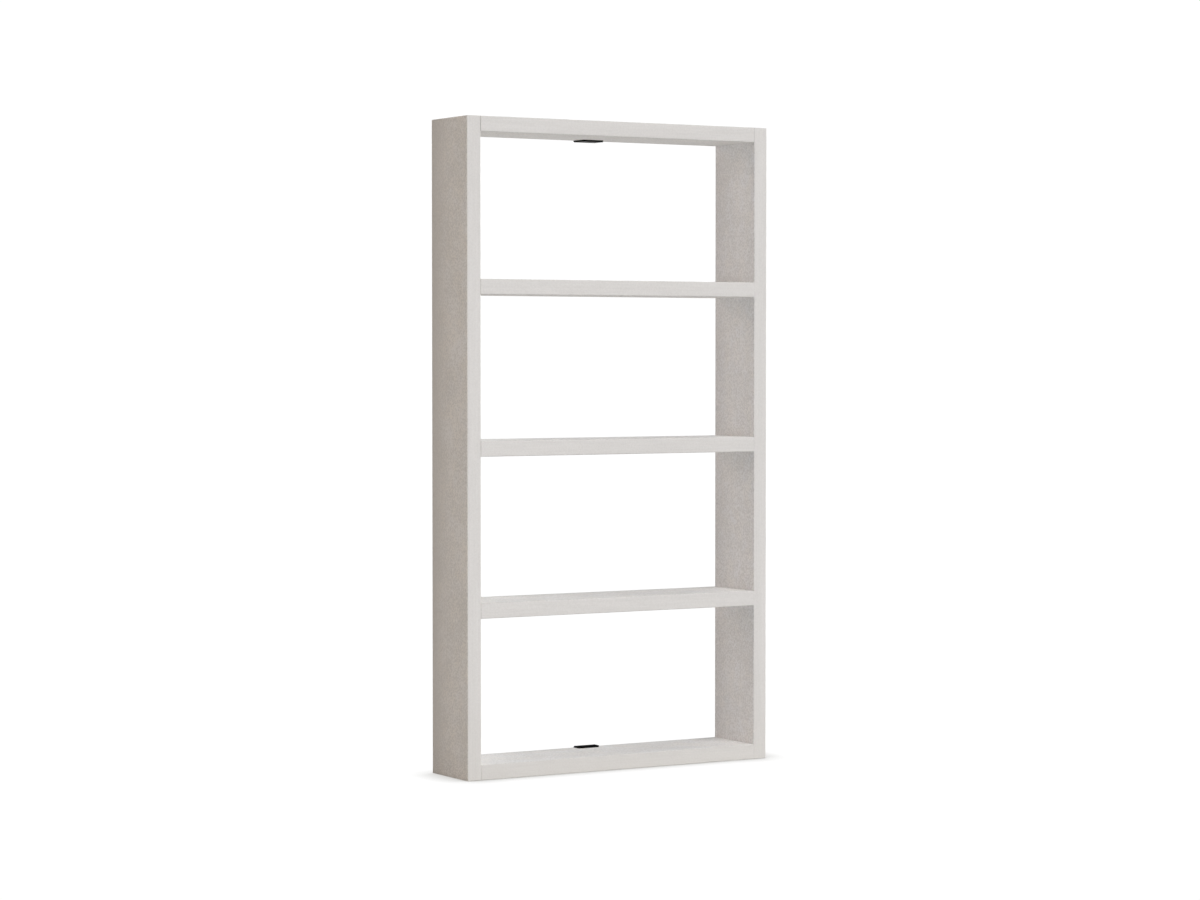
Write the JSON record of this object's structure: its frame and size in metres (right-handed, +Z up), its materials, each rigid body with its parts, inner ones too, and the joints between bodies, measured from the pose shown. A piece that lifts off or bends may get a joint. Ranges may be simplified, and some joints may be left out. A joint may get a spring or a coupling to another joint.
{
  "type": "miniature bookcase",
  "caption": "Open-backed upright miniature bookcase: side panels, top and bottom boards and fixed shelves on dowelled butt joints, with black plates for hanging on a wall.",
  "frame": {"origin": "middle of the footprint, on the surface that the bookcase stands on", "axes": "+Z up, +Y towards the back, +X to the right when seen from the front"},
  "size_m": [0.0786, 0.0166, 0.146],
  "materials": {
    "off_white_paint": "satin warm off-white paint with a fine sprayed grain over solid wood",
    "dowel_wood": "bare planed hardwood, glued in",
    "black_steel": "satin black lacquer on folded sheet steel",
    "black_pin": "black lacquer, rubbed a little on the flush heads"
  },
  "bodies": {
    "root": {"left_side_panel": "off_white_paint", "right_side_panel": "off_white_paint", "top_board": "off_white_paint", "upper_shelf": "off_white_paint", "middle_shelf": "off_white_paint", "lower_shelf": "off_white_paint", "bottom_board": "off_white_paint", "top_board_left_dowels": "dowel_wood", "top_board_right_dowels": "dowel_wood", "upper_shelf_left_dowels": "dowel_wood", "upper_shelf_right_dowels": "dowel_wood", "middle_shelf_left_dowels": "dowel_wood", "middle_shelf_right_dowels": "dowel_wood", "lower_shelf_left_dowels": "dowel_wood", "lower_shelf_right_dowels": "dowel_wood", "bottom_board_left_dowels": "dowel_wood", "bottom_board_right_dowels": "dowel_wood", "top_fixing_plate": "black_steel", "bottom_fixing_plate": "black_steel", "top_plate_pins": "black_pin", "bottom_plate_pins": "black_pin"}
  },
  "joints": []
}
